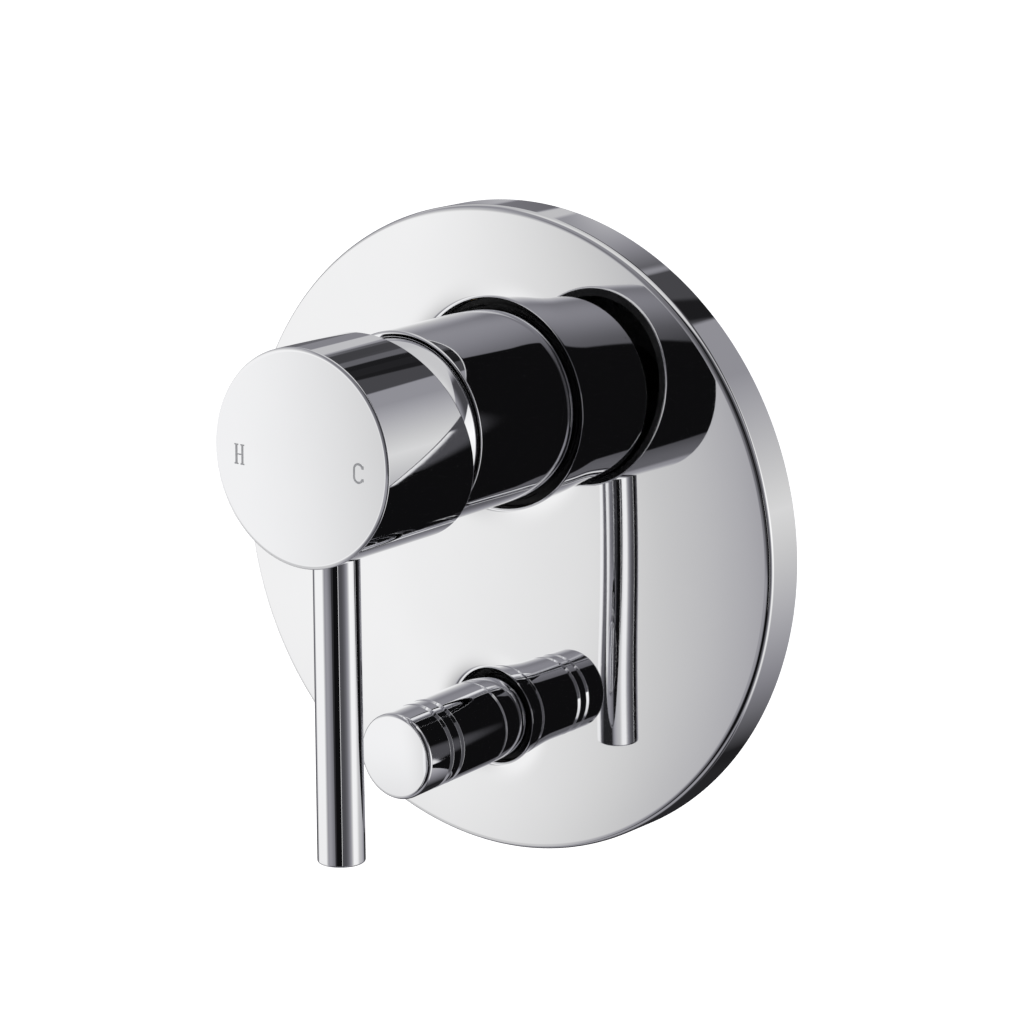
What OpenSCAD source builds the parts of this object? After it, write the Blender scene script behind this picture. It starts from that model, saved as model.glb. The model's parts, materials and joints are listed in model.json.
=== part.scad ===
// Concealed single-lever shower mixer with a pull diverter.
// Origin: centre of the cover plate on the finished wall. +Z up, -Y out of the wall, +X to the right.
// Turned parts are drawn in a section: first number = radius, second number = distance out of the wall.

/* [Cover plate] */
// Diameter of the round plate
plate_d = 150; // [148:1:152]
// Depth of the plate's rim, wall to front edge
plate_rim = 10.8; // [10.6:0.1:11.2]
// How far the middle of the face stands out beyond the rim's edge
plate_crown = 1.26; // [1.1:0.02:1.4]
// Radius of the flat middle of the face
plate_flat_r = 42; // [40:1:44]
// Thickness of the plate
plate_t = 1.2; // [1:0.1:1.4]
// Rounding of the rim's front edge
plate_round = 1.7; // [1.6:0.1:2]
// Rolled edge of the two holes
lip_r = 1.8; // [1.6:0.1:2]
// Radius of the upper hole
hole_upper_r = 23.6; // [23.5:0.1:23.9]
// Radius of the lower hole
hole_lower_r = 11.6; // [11.5:0.1:11.9]

/* [Layout] */
// Height of the mixer's axis above the plate's centre
mix_z = 28.9; // [28.5:0.1:29.5]
// Height of the diverter's axis below the plate's centre
div_drop = 45.1; // [44.5:0.1:45.5]

/* [Handle] */
// Radius of the drum knob
knob_r = 24.1; // [23.9:0.1:24.4]
// Distance of the knob's face from the wall
knob_face = 80.2; // [80:0.1:81]
// Distance of the slanted rear rim from the wall, on the axis
knob_rear = 52.9; // [52.7:0.1:53.4]
// Slant of the rear rim, degrees
knob_slant = 14.7; // [14:0.1:15]
// Rounding of the face's edge
knob_round = 0.8; // [0.6:0.1:1.2]
// Distance of the lever pin's axis from the wall
pin_out = 67.9; // [67.6:0.1:68.2]
// Radius of the lever pin at its lower end
pin_r_low = 5.36; // [5.2:0.02:5.5]
// Radius of the lever pin where it leaves the knob
pin_r_top = 5.2; // [5.1:0.02:5.3]
// Height of the pin's lower end
pin_bottom = -65; // [-70:0.5:-60]
// Height of the hot and cold letters
mark_h = 4.5; // [3.5:0.1:5]
// Distance of the letters from the knob's axis
mark_off = 16.6; // [15:0.1:17]

/* [Sleeve] */
// Radius of the cover sleeve
sleeve_r = 22.2; // [22.1:0.1:22.4]
// Distance of the sleeve's front edge from the wall
sleeve_front = 45.7; // [45.5:0.1:45.8]
// Radius of the dome ring where the sleeve ends
dome_r = 20.3; // [20.2:0.1:20.4]

/* [Diverter] */
// Radius of the diverter knob
div_r = 9.95; // [9.8:0.05:10.2]
// Distance of the diverter knob's face from the wall
div_face = 47.8; // [47:0.1:49]
// Distance of the diverter knob's rear edge from the wall
div_rear = 19.3; // [19.3:0.1:20]
// First groove, distance from the wall
groove_a = 39.4; // [39:0.1:40]
// Second groove, distance from the wall
groove_b = 35.5; // [35:0.1:36]
// Depth of the grooves
groove_d = 0.55; // [0.3:0.05:0.8]
// Travel of the diverter
div_travel = 7; // [6:0.5:7]

/* [Hidden] */

eps = 0.01;
plate_r = plate_d/2;
face_out = plate_rim + plate_crown;
crown_r = (pow(plate_r - plate_flat_r, 2) + plate_crown*plate_crown)/(2*plate_crown);
div_z = -div_drop;
pivot = 41;                 // tilt axis of the stem, out of the wall
dome_R = sqrt(dome_r*dome_r + pow(sleeve_front - pivot, 2));
dome_R_in = 19.4;
tower_r = 20.2;             // outside of the body's tower
tower_top = 38;
seat = 8.5;                 // face that the cartridge stands on
seat_r = 17.5;
port_y = 18;                // plane of the four pipe ports, behind the wall's face
body_back = 34;             // rear of the body
side_len = 34;              // hot and cold ports, from the middle
top_len = 28.6;             // shower port, above the mixer's axis
bottom_len = 26;            // bath port, below the diverter's axis
tap_len = 13;               // length of the pipe threads
lug_x = 30;                 // fixing holes, from the middle
tap_r = 9.3;                // core radius of the half inch pipe thread
slope = tan(knob_slant);
q_ring = 96;

module on_mix() { translate([0, 0, mix_z]) rotate([90, 0, 0]) children(); }
module on_div() { translate([0, 0, div_z]) rotate([90, 0, 0]) children(); }
module lathe() { rotate_extrude($fn = q_ring) children(); }
module sec(r1, r2, o1, o2) { translate([r1, o1]) square([r2 - r1, o2 - o1]); }
// ring section with a rounded outer front corner
module sec_round(r1, r2, o1, o2, f) {
    sec(r1, r2, o1, o2 - f);
    sec(r1, r2 - f, o1, o2);
    translate([r2 - f, o2 - f]) circle(f, $fn = 64);
}
module o_ring(R, o, r) { lathe() translate([R, o]) circle(r, $fn = 32); }
module hex(af, h) { cylinder(r = af/2/cos(30), h = h, $fn = 6); }

// ---- cover plate ----

// crowned section of the plate, made smaller all round by k
module plate_section(k, bottom) {
    R = plate_r - k;
    A = crown_r - k;
    f = plate_round - k;
    top = face_out - k;
    cx = R - f;
    cy = top - A + sqrt(pow(A - f, 2) - pow(cx - plate_flat_r, 2));
    xt = plate_flat_r + (cx - plate_flat_r)*A/(A - f);
    sec(0, plate_flat_r + eps, bottom, top);
    intersection() {
        translate([plate_flat_r, top - A]) circle(A, $fn = 1440);
        sec(plate_flat_r, xt, bottom, top + 1);
    }
    translate([cx, cy]) circle(f, $fn = 64);
    sec(0, R, bottom, cy);
}
// cutter that rolls the edge of a hole inwards
module lip_cut(r, face) {
    difference() {
        sec(0, r + lip_r, face - lip_r, face + 2);
        translate([r + lip_r, face - lip_r]) circle(lip_r, $fn = 96);
    }
    sec(0, r, -1, face + 2);
}
module plate_hole(z, r, face) {
    translate([0, 0, z]) rotate([90, 0, 0]) lathe() lip_cut(r, face);
}
module face_plate() {
    color([0.86, 0.87, 0.89]) difference() {
        union() {
            rotate([90, 0, 0]) rotate_extrude($fn = 180) difference() {
                plate_section(0, 0);
                plate_section(plate_t, -1);
            }
            on_mix() lathe() sec(hole_upper_r - 1, hole_upper_r + plate_t, 5.2, face_out - plate_t);
            on_div() lathe() sec(hole_lower_r - 1, hole_lower_r + plate_t, 5.2, face_out - plate_t);
        }
        plate_hole(mix_z, hole_upper_r, face_out - 0.02);
        plate_hole(div_z, hole_lower_r, face_out - 0.04);
    }
}
module plate_gasket() {
    color([0.2, 0.2, 0.21]) rotate([90, 0, 0]) rotate_extrude($fn = 120)
        sec(plate_r - plate_t - 4.2, plate_r - plate_t - 0.2, 0, 3.4);
}
module plate_seal_upper() {
    color([0.13, 0.13, 0.14]) on_mix() lathe() difference() {
        sec(sleeve_r + 0.02, hole_upper_r - 0.04, 3.6, 8.6);
        translate([sleeve_r, 6.1]) circle(0.5, $fn = 24);
    }
}
module plate_seal_lower() {
    color([0.13, 0.13, 0.14]) on_div() lathe() difference() {
        sec(div_r - 0.03, hole_lower_r - 0.04, 3.6, 8.6);
        translate([div_r - 0.05, 6.1]) circle(0.5, $fn = 24);
    }
}

// ---- body in the wall ----

module port_end(len) {     // hexagon at the end of a boss that runs along +Z
    translate([0, 0, len - 9]) hex(26, 9);
}
module body_solid() {
    on_mix() lathe() { sec(0, 23, -body_back, 2.4); sec(0, tower_r, 2, tower_top); }
    on_div() lathe() sec(0, 14.5, -body_back, -2.2);
    translate([-12, 5, div_z]) cube([24, body_back - 5, mix_z - div_z]);
    // port bosses: hot left, cold right, shower up, bath down
    translate([-side_len, port_y, mix_z]) rotate([0, 90, 0]) cylinder(r = 12.6, h = 2*side_len, $fn = q_ring);
    for (s = [-1, 1]) translate([0, port_y, mix_z]) rotate([0, s*90, 0]) port_end(side_len);
    translate([0, port_y, mix_z]) { cylinder(r = 12, h = top_len, $fn = q_ring); port_end(top_len); }
    translate([0, port_y, div_z]) rotate([180, 0, 0]) { cylinder(r = 12, h = bottom_len, $fn = q_ring); port_end(bottom_len); }
    // fixing lugs
    translate([-36, body_back - 5.5, div_z + 9]) cube([72, 5, 44]);
}
module body_ways() {
    // cartridge seat, threaded mouth, waterways from the seat
    on_mix() {
        lathe() { sec(0, seat_r, seat, 32.5); sec(0, 18.45, 32, tower_top + 1); }
        for (p = ports) translate([p[0], p[1], -port_y - 2]) cylinder(r = 3.8, h = seat + 1 + port_y + 2, $fn = 48);
        for (s = [-1, 1]) translate([s*10, -10, 5]) cylinder(r = 2, h = seat - 4, $fn = 32);
        // groove for the ring that holds the sleeve
        lathe() sec(tower_r - 0.6, tower_r + 1, 13.1, 14.9);
    }
    // hot and cold ways, tapped mouths
    for (s = [-1, 1]) translate([0, port_y, mix_z]) rotate([0, s*90, 0]) {
        translate([0, 0, 6]) cylinder(r = 5, h = side_len - 10, $fn = 48);
        translate([0, 0, side_len - tap_len]) cylinder(r = tap_r, h = tap_len + 1, $fn = q_ring);
    }
    // mixed water down to the diverter
    translate([0, port_y, div_z]) cylinder(r = 4.2, h = mix_z - 6.5 - div_z, $fn = 48);
    // diverter chamber
    on_div() lathe() {
        sec(0, 9.55, -11, 0);
        sec(0, 5.6, -26, -10);
        sec(0, 8, -23, -13);
        sec(0, 8, -32, -25);
    }
    // way up behind the cartridge to the shower port
    translate([0, 28.5, div_z]) cylinder(r = 3.2, h = mix_z - div_z + 20, $fn = 48);
    translate([0, 31, mix_z + 18]) rotate([90, 0, 0]) cylinder(r = 3.6, h = 13, $fn = 48);
    translate([0, port_y, mix_z + top_len - tap_len]) cylinder(r = tap_r, h = tap_len + 1, $fn = q_ring);
    // way down to the bath port
    translate([0, 9.2, div_z - bottom_len + tap_len - 3]) cylinder(r = 2.2, h = bottom_len - tap_len + 2, $fn = 48);
    translate([0, port_y, div_z - bottom_len - 1]) cylinder(r = tap_r, h = tap_len + 1, $fn = q_ring);
    // screw holes in the lugs
    for (x = [-lug_x, lug_x], z = [14, 48]) translate([x, body_back + 1, div_z + z]) rotate([90, 0, 0]) cylinder(r = 2.6, h = 8, $fn = 48);
}
module mixer_body() {
    color([0.8, 0.66, 0.36]) difference() { body_solid(); body_ways(); }
}

// ---- cartridge ----

ports = [[-7.5, 3.5], [7.5, 3.5], [0, -8]];
module port_holes(o, h, r) { for (p = ports) translate([p[0], p[1], o]) cylinder(r = r, h = h, $fn = 48); }
module cartridge_base() {
    color([0.93, 0.93, 0.9]) on_mix() difference() {
        union() {
            cylinder_at(17.3, seat, 12.5);
            for (s = [-1, 1]) translate([s*10, -10, seat - 2.5]) cylinder(r = 1.9, h = 3, $fn = 32);
        }
        port_holes(seat - 1, 6, 3.8);
        for (p = ports) translate([p[0], p[1], 0]) lathe() sec(4.3, 5.5, seat - 1, seat + 0.9);
    }
}
module cylinder_at(r, o1, o2) { translate([0, 0, o1]) cylinder(r = r, h = o2 - o1, $fn = q_ring); }
module base_seals() {
    color([0.12, 0.12, 0.13]) on_mix() for (p = ports) translate([p[0], p[1], 0]) o_ring(4.9, seat + 0.46, 0.42);
}
module fixed_disc() {
    color([0.95, 0.94, 0.92]) on_mix() difference() {
        cylinder_at(15.5, 12.5, 16.5);
        port_holes(12, 5, 3.6);
        for (s = [-1, 1]) translate([s*15.5, 0, 12]) cylinder(r = 1.5, h = 5, $fn = 32);
    }
}
module cartridge_housing() {
    color([0.9, 0.9, 0.88]) on_mix() lathe() {
        sec(15.6, 17.4, 12.5, 33);
        sec(10.56, 15.5, 31, 37);
        sec(15.4, 17.4, 31, 33);
    }
}
module cartridge_nut() {
    color([0.82, 0.7, 0.42]) on_mix() difference() {
        lathe() {
            sec(15.6, 18.4, 33.05, 37.06);
            sec(11.2, 18.4, 37.05, 40);
            sec(14.6, 18.4, 39.9, 42);
        }
        for (a = [0:60:300]) rotate([0, 0, a]) translate([12.5, -2, 40.2]) cube([8, 4, 3]);
    }
}
module cartridge_rotor() {
    color([0.3, 0.31, 0.33]) on_mix() difference() {
        union() {
            cylinder_at(15.52, 28, 30.9);
            cylinder_at(10.5, 30, 45);
            intersection() {
                cylinder_at(15.3, 21, 28.5);
                union() for (s = [-1, 1]) translate([s*14.3 - 3, -9, 20]) cube([6, 18, 9]);
            }
        }
        // slot that the stem tilts in
        translate([-4.2, -8.4, 20]) cube([8.4, 15.6, 30]);
        // room for the ball when the lever is lifted
        translate([-4.3, -10.9, 20]) cube([8.6, 5, 10.5]);
        translate([-20, 0, pivot]) rotate([0, 90, 0]) cylinder(r = 1.5, h = 40, $fn = 48);
    }
}
module stem_pin() {
    color([0.75, 0.76, 0.78]) on_mix() translate([-9.7, 0, pivot]) rotate([0, 90, 0]) cylinder(r = 1.5, h = 19.4, $fn = 48);
}
// the moving disc rests 3.4 above the axis and slides down as the lever is lifted
module moving_disc() {
    color([0.96, 0.95, 0.93]) on_mix() translate([0, 3.4, 0]) difference() {
        cylinder_at(11, 16.52, 20.5);
        for (y = [-5, 1]) translate([0, y, 16]) cylinder(r = 4.2, h = 2.5, $fn = 32);
        translate([-4.2, -5, 16]) cube([8.4, 6, 2.5]);
        for (s = [-1, 1]) translate([s*11, 0, 16]) cylinder(r = 1.6, h = 6, $fn = 32);
    }
}
module disc_carrier() {
    color([0.42, 0.44, 0.47]) on_mix() difference() {
        union() {
            translate([0, 3.4, 0]) {
                cylinder_at(11, 20.5, 23.5);
                for (s = [-1, 1]) intersection() {
                    translate([s*11, 0, 17.6]) cylinder(r = 1.55, h = 4, $fn = 32);
                    cylinder_at(11, 17, 24);
                }
            }
            cylinder_at(6.2, 22, 27.6);
        }
        cylinder_at(3.75, 21.35, 30);
    }
}
module cartridge_stem() {
    color([0.78, 0.7, 0.48]) on_mix() difference() {
        union() {
            translate([-4, -4, pivot - 4]) cube([8, 8, 34]);
            cylinder_at(2.5, 25, pivot - 3);
            translate([0, 0, 25]) sphere(r = 3.5, $fn = 64);
        }
        translate([-10, 0, pivot]) rotate([0, 90, 0]) cylinder(r = 1.55, h = 20, $fn = 48);
    }
}

// ---- handle ----

module mark_hot() {         // H with small serifs, centred
    w = mark_h*0.62; s = mark_h*0.12;
    for (x = [-1, 1]) {
        translate([x*(w/2 - s) - s/2, -mark_h/2]) square([s, mark_h]);
        for (y = [-1, 1]) translate([x*(w/2 - s) - s, y*(mark_h/2 - s/4) - s/4]) square([2*s, s/2]);
    }
    translate([-w/2 + s, -s/4]) square([w - 2*s, s/2]);
}
module mark_cold() {        // C as an open oval ring with end ticks, centred
    s = mark_h*0.11; w = mark_h*0.62;
    difference() {
        union() {
            difference() {
                union() {
                    translate([-w/2 + w/2, mark_h/2 - w/2]) circle(w/2, $fn = 64);
                    translate([0, -mark_h/2 + w/2]) circle(w/2, $fn = 64);
                    translate([-w/2, -mark_h/2 + w/2]) square([w, mark_h - w]);
                }
                translate([0, mark_h/2 - w/2]) circle(w/2 - s, $fn = 64);
                translate([0, -mark_h/2 + w/2]) circle(w/2 - s, $fn = 64);
                translate([-w/2 + s, -mark_h/2 + w/2]) square([w - 2*s, mark_h - w]);
            }
            translate([w/2 - s, mark_h*0.2]) square([s, mark_h*0.18]);
            translate([w/2 - s, -mark_h*0.38]) square([s, mark_h*0.16]);
        }
        translate([0, -mark_h*0.24]) square([w, mark_h*0.46]);
    }
}
module marks_2d() {
    translate([-mark_off - 0.5, -1.3]) mark_hot();
    translate([mark_off - 0.6, -0.8]) mark_cold();
}
module knob_marks() {
    color([0.55, 0.56, 0.58]) on_mix() translate([0, 0, knob_face - 0.25]) linear_extrude(0.2) marks_2d();
}
module rear_cut() {         // everything behind the slanted rear plane
    translate([0, 0, knob_rear]) rotate([atan(slope), 0, 0]) translate([-50, -60, -80]) cube([100, 120, 80]);
}
module handle_knob() {
    color([0.86, 0.87, 0.89]) on_mix() difference() {
        union() {
            difference() {
                lathe() sec_round(0, knob_r, 40, knob_face, knob_round);
                cylinder_at(22, 30, knob_face - 3.5);
            }
            intersection() {
                union() {
                    cylinder_at(8, 62.8, knob_face - 3);
                    translate([0, 0, pin_out]) rotate([90, 0, 0]) cylinder(r = 7, h = 23, $fn = q_ring);
                }
                cylinder_at(22.5, 60, knob_face - 1);
            }
        }
        rear_cut();
        // square socket of the stem, grub screw hole, thread and seat of the lever pin
        translate([-4.05, -4.05, 60]) cube([8.1, 8.1, 11.5]);
        translate([0, 0, pin_out]) rotate([90, 0, 0]) {
            cylinder(r = 2.55, h = 14, $fn = 48);
            translate([0, 0, 13]) cylinder(r = 4, h = 20, $fn = 48);
            translate([0, 0, 20.4]) cylinder(r = pin_r_top + 0.02, h = 10, $fn = q_ring);
        }
        translate([0, 0, knob_face - 0.26]) linear_extrude(1) marks_2d();
    }
}
module lever_pin() {
    color([0.86, 0.87, 0.89]) translate([0, -pin_out, mix_z]) rotate([180, 0, 0]) rotate_extrude($fn = q_ring) {
        len = mix_z - pin_bottom;
        polygon([[0, 13.2], [3.4, 13.2], [3.95, 13.8], [3.95, 20.5], [pin_r_top, 20.5], [pin_r_top, 24],
            [pin_r_low, len - 0.5], [pin_r_low - 0.5, len], [0, len]]);
    }
}
module grub(r, h, af) {     // set screw along +Z with a hexagon socket
    difference() { cylinder(r = r, h = h, $fn = 48); translate([0, 0, h - 2.6]) hex(af, 3); }
}
module knob_grub_screw() {
    color([0.45, 0.46, 0.48]) translate([0, -pin_out, mix_z - 4.02]) rotate([180, 0, 0]) grub(2.5, 7.5, 2.5);
}

// ---- sleeve and dome ----

module cover_sleeve() {
    color([0.86, 0.87, 0.89]) on_mix() lathe() difference() {
        sec_round(12, sleeve_r, 3, sleeve_front, 1);
        sec(0, 21.2, 0, sleeve_front - 2.6);
        sec(0, dome_r + 0.4, 0, sleeve_front + 1);
    }
}
module sleeve_o_ring() { color([0.12, 0.12, 0.13]) on_mix() o_ring(20.4, 14, 0.78); }
module dome_ring() {
    a = 42;
    color([0.8, 0.81, 0.83]) on_mix() lathe() difference() {
        union() {
            intersection() {
                translate([0, pivot]) circle(dome_R, $fn = 360);
                sec(0, dome_r, tower_top + 0.1, 80);
            }
            sec(10, dome_r, tower_top + 0.1, sleeve_front);
        }
        intersection() {
            translate([0, pivot]) circle(dome_R_in, $fn = 360);
            sec(0, 18.45, 30, 80);
        }
        sec(0, 18.45, 30, pivot + 5.5);
        sec(0, dome_R*sin(a), 30, 80);
    }
}

// ---- diverter ----

module diverter_bonnet() {
    color([0.82, 0.7, 0.42]) on_div() difference() {
        union() {
            cylinder_at(9.5, -7, -2);
            translate([0, 0, -2.15]) hex(20, 3.65);
            cylinder_at(8.15, 1, 4.5);
            cylinder_at(5.85, 4, 9.5);
        }
        cylinder_at(5.5, -8, 4);
        cylinder_at(3.05, 3, 10);
        lathe() sec(0, 4.9, 5.8, 7.9);
    }
}
module spindle_o_ring() { color([0.12, 0.12, 0.13]) on_div() o_ring(3.95, 6.85, 0.9); }
// compression spring: rings joined by slanted half turns
spring_turns = 5;
spring_r = 4.4;
wire_r = 0.4;
function coil(i, n) = let (t = i/n) [spring_r*cos(360*spring_turns*t), spring_r*sin(360*spring_turns*t), -7.9 + wire_r + t*(11.8 - 2*wire_r)];
module diverter_spring() {
    n = spring_turns*16;
    k = 8;
    pts = [for (i = [0:n]) let (c = coil(i, n), a = 360*spring_turns*i/n)
        for (j = [0:k - 1]) let (b = 360*j/k) [
            c[0] + wire_r*cos(b)*cos(a), c[1] + wire_r*cos(b)*sin(a), c[2] + wire_r*sin(b)]];
    faces = concat(
        [for (i = [0:n - 1], j = [0:k - 1]) [i*k + j, (i + 1)*k + j, (i + 1)*k + (j + 1)%k, i*k + (j + 1)%k]],
        [[for (j = [0:k - 1]) j]],
        [[for (j = [0:k - 1]) n*k + k - 1 - j]]);
    color([0.7, 0.71, 0.73]) on_div() polyhedron(points = pts, faces = faces, convexity = 10);
}
module diverter_sleeve() {
    color([0.86, 0.87, 0.89]) on_div() lathe() difference() {
        sec_round(8.2, div_r - 0.1, 1.6, div_rear - 0.25, 0.3);
        sec(0, 8.2, 0, 30);
    }
}
module diverter_spindle() {
    color([0.8, 0.68, 0.4]) on_div() lathe() {
        sec(0, 3, -20, 39);
        sec(0, 5.2, -9.5, -8);
        sec(0, 5, -20.05, -18.6);
        sec(0, 2, -22.95, -20);
    }
}
module diverter_washer() { color([0.14, 0.14, 0.15]) on_div() lathe() sec(2.05, 7, -22.95, -20.05); }
module washer_screw() {
    color([0.75, 0.76, 0.78]) on_div() difference() {
        cylinder_at(4.2, -25.2, -22.96);
        translate([0, 0, -25.5]) hex(2.5, 1.4);
    }
}
module diverter_knob() {
    color([0.86, 0.87, 0.89]) on_div() difference() {
        union() {
            lathe() difference() {
                sec_round(0, div_r, div_rear, div_face, 1.75);
                for (g = [groove_a, groove_b]) polygon([[div_r + 0.4, g - 1.05], [div_r - groove_d, g], [div_r + 0.4, g + 1.05]]);
                polygon([[div_r + 0.1, div_rear - 0.1], [div_r - 0.4, div_rear - 0.1], [div_r + 0.1, div_rear + 0.4]]);
            }
            cylinder_at(8.05, 6, div_rear + 1);
        }
        cylinder_at(6.2, 5, 16.5);
        cylinder_at(3.02, 5, 39.3);
        translate([0, 0, 27]) rotate([90, 0, 0]) cylinder(r = 2.03, h = 15, $fn = 48);
    }
}
module diverter_grub_screw() {
    color([0.45, 0.46, 0.48]) translate([0, -27, div_z - 3.03]) rotate([180, 0, 0]) grub(2, 5, 2);
}

face_plate();
plate_gasket();
plate_seal_upper();
plate_seal_lower();
mixer_body();
cartridge_base();
base_seals();
fixed_disc();
cartridge_housing();
cartridge_nut();
cover_sleeve();
sleeve_o_ring();
dome_ring();
cartridge_rotor();
stem_pin();
moving_disc();
disc_carrier();
cartridge_stem();
handle_knob();
lever_pin();
knob_marks();
knob_grub_screw();
diverter_bonnet();
spindle_o_ring();
diverter_spring();
diverter_sleeve();
diverter_spindle();
diverter_washer();
washer_screw();
diverter_knob();
diverter_grub_screw();
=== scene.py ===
import json
import math

import bpy
from mathutils import Matrix, Vector
from mathutils.geometry import delaunay_2d_cdt


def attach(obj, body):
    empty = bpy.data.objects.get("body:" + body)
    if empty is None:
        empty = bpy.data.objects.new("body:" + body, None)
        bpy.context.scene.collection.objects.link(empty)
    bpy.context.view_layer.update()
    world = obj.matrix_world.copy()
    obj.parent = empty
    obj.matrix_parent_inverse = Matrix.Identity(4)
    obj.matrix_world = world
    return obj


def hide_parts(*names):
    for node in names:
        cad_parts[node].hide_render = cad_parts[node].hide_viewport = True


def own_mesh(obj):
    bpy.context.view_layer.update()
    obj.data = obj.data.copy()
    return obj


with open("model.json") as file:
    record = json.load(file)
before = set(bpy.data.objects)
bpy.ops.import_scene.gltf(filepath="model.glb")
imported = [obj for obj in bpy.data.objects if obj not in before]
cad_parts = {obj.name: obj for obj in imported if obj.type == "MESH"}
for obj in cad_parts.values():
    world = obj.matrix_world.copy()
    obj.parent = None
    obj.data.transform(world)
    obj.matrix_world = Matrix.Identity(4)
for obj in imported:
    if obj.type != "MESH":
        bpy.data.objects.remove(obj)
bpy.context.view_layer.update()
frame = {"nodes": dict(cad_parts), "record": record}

nodes = frame["nodes"]
scene = bpy.context.scene

# ---------------------------------------------------------------- sizes, in mm, as in the CAD part
MIX_Z, DIV_Z = 28.9, -45.1
PLATE_R, RIM, CROWN, FLAT_R, PLATE_T, FILLET = 75.0, 10.8, 1.26, 42.0, 1.2, 1.7
HOLE_U, HOLE_L = 24.1, 11.1
ROLL = 1.15                    # rolled edge of the holes
HANG_U, HANG_L = 1.0, 1.3      # the valve droops a little: how far holes and tubes lie above its knobs' axes at the plate
SINK, SINK_W = 0.12, 5.0       # soft dip of the face towards each hole, and its width
FACE = RIM + CROWN
CROWN_R = ((PLATE_R - FLAT_R) ** 2 + CROWN ** 2) / (2 * CROWN)


# ================================================================ materials
def new_material(name):
    m = bpy.data.materials.new(name)
    m.use_nodes = True
    nt = m.node_tree
    nt.nodes.clear()
    out = nt.nodes.new("ShaderNodeOutputMaterial")
    b = nt.nodes.new("ShaderNodeBsdfPrincipled")
    nt.links.new(b.outputs[0], out.inputs[0])
    return m, nt, b


def coords(nt, scale=(1, 1, 1)):
    tc = nt.nodes.new("ShaderNodeTexCoord")
    mp = nt.nodes.new("ShaderNodeMapping")
    mp.inputs["Scale"].default_value = scale
    nt.links.new(tc.outputs["Object"], mp.inputs[0])
    return mp.outputs[0]


def noise(nt, vec, scale, detail=3.0, rough=0.5):
    n = nt.nodes.new("ShaderNodeTexNoise")
    n.inputs["Scale"].default_value = scale
    n.inputs["Detail"].default_value = detail
    n.inputs["Roughness"].default_value = rough
    nt.links.new(vec, n.inputs["Vector"])
    return n.outputs["Fac"]


def ramp(nt, fac, stops):
    r = nt.nodes.new("ShaderNodeValToRGB")
    e = r.color_ramp.elements
    while len(e) < len(stops):
        e.new(0.5)
    for k, (p, c) in enumerate(stops):
        e[k].position = p
        e[k].color = (*c, 1) if len(c) == 3 else c
    nt.links.new(fac, r.inputs[0])
    return r.outputs[0]


def span(nt, fac, lo, hi, a=0.0, b=1.0):
    r = nt.nodes.new("ShaderNodeMapRange")
    r.inputs["From Min"].default_value = lo
    r.inputs["From Max"].default_value = hi
    r.inputs["To Min"].default_value = a
    r.inputs["To Max"].default_value = b
    nt.links.new(fac, r.inputs[0])
    return r.outputs[0]


def bump(nt, b, height, strength, distance):
    n = nt.nodes.new("ShaderNodeBump")
    n.inputs["Strength"].default_value = strength
    n.inputs["Distance"].default_value = distance
    nt.links.new(height, n.inputs["Height"])
    nt.links.new(n.outputs[0], b.inputs["Normal"])
    return n


def chrome(name, tint=(0.93, 0.932, 0.945), rough=0.022, wave=0.12, specks=True):
    """Polished chrome plating: faint long polishing waves, a haze that varies, a few tiny specks."""
    m, nt, b = new_material(name)
    v = coords(nt)
    haze = noise(nt, v, 38, 3, 0.6)
    lo = tuple(c * 0.985 for c in tint)
    nt.links.new(ramp(nt, haze, [(0.3, lo), (0.75, tint)]), b.inputs["Base Color"])
    b.inputs["Metallic"].default_value = 1.0
    fine = noise(nt, v, 900, 2, 0.5)
    if specks:
        vor = nt.nodes.new("ShaderNodeTexVoronoi")
        vor.inputs["Scale"].default_value = 150
        nt.links.new(v, vor.inputs["Vector"])
        dot = span(nt, vor.outputs["Distance"], 0.0, 0.035, 0.16, 0.0)
        add = nt.nodes.new("ShaderNodeMath")
        add.operation = "ADD"
        nt.links.new(span(nt, fine, 0.35, 0.7, rough * 0.7, rough * 1.5), add.inputs[0])
        nt.links.new(dot, add.inputs[1])
        nt.links.new(add.outputs[0], b.inputs["Roughness"])
    else:
        nt.links.new(span(nt, fine, 0.35, 0.7, rough * 0.7, rough * 1.5), b.inputs["Roughness"])
    long_wave = noise(nt, coords(nt, (1, 1, 1)), 26, 1.5, 0.4)
    bump(nt, b, long_wave, wave, 0.00022)
    return m


def brass(name, cast):
    m, nt, b = new_material(name)
    v = coords(nt)
    tone = noise(nt, v, 60 if cast else 120, 4, 0.6)
    if cast:
        stops = [(0.25, (0.42, 0.27, 0.11)), (0.55, (0.62, 0.43, 0.18)), (0.8, (0.72, 0.53, 0.26))]
    else:
        stops = [(0.3, (0.66, 0.47, 0.2)), (0.7, (0.83, 0.64, 0.32))]
    nt.links.new(ramp(nt, tone, stops), b.inputs["Base Color"])
    b.inputs["Metallic"].default_value = 1.0
    grain = noise(nt, v, 1500 if cast else 700, 5, 0.7)
    if cast:
        nt.links.new(span(nt, grain, 0.3, 0.7, 0.42, 0.62), b.inputs["Roughness"])
        bump(nt, b, grain, 0.55, 0.00025)
    else:
        nt.links.new(span(nt, grain, 0.3, 0.7, 0.2, 0.32), b.inputs["Roughness"])
        w = nt.nodes.new("ShaderNodeTexWave")
        w.bands_direction = "Y"
        w.inputs["Scale"].default_value = 1600
        w.inputs["Distortion"].default_value = 0.4
        nt.links.new(v, w.inputs["Vector"])
        bump(nt, b, w.outputs["Fac"], 0.25, 0.00004)
    return m


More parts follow.
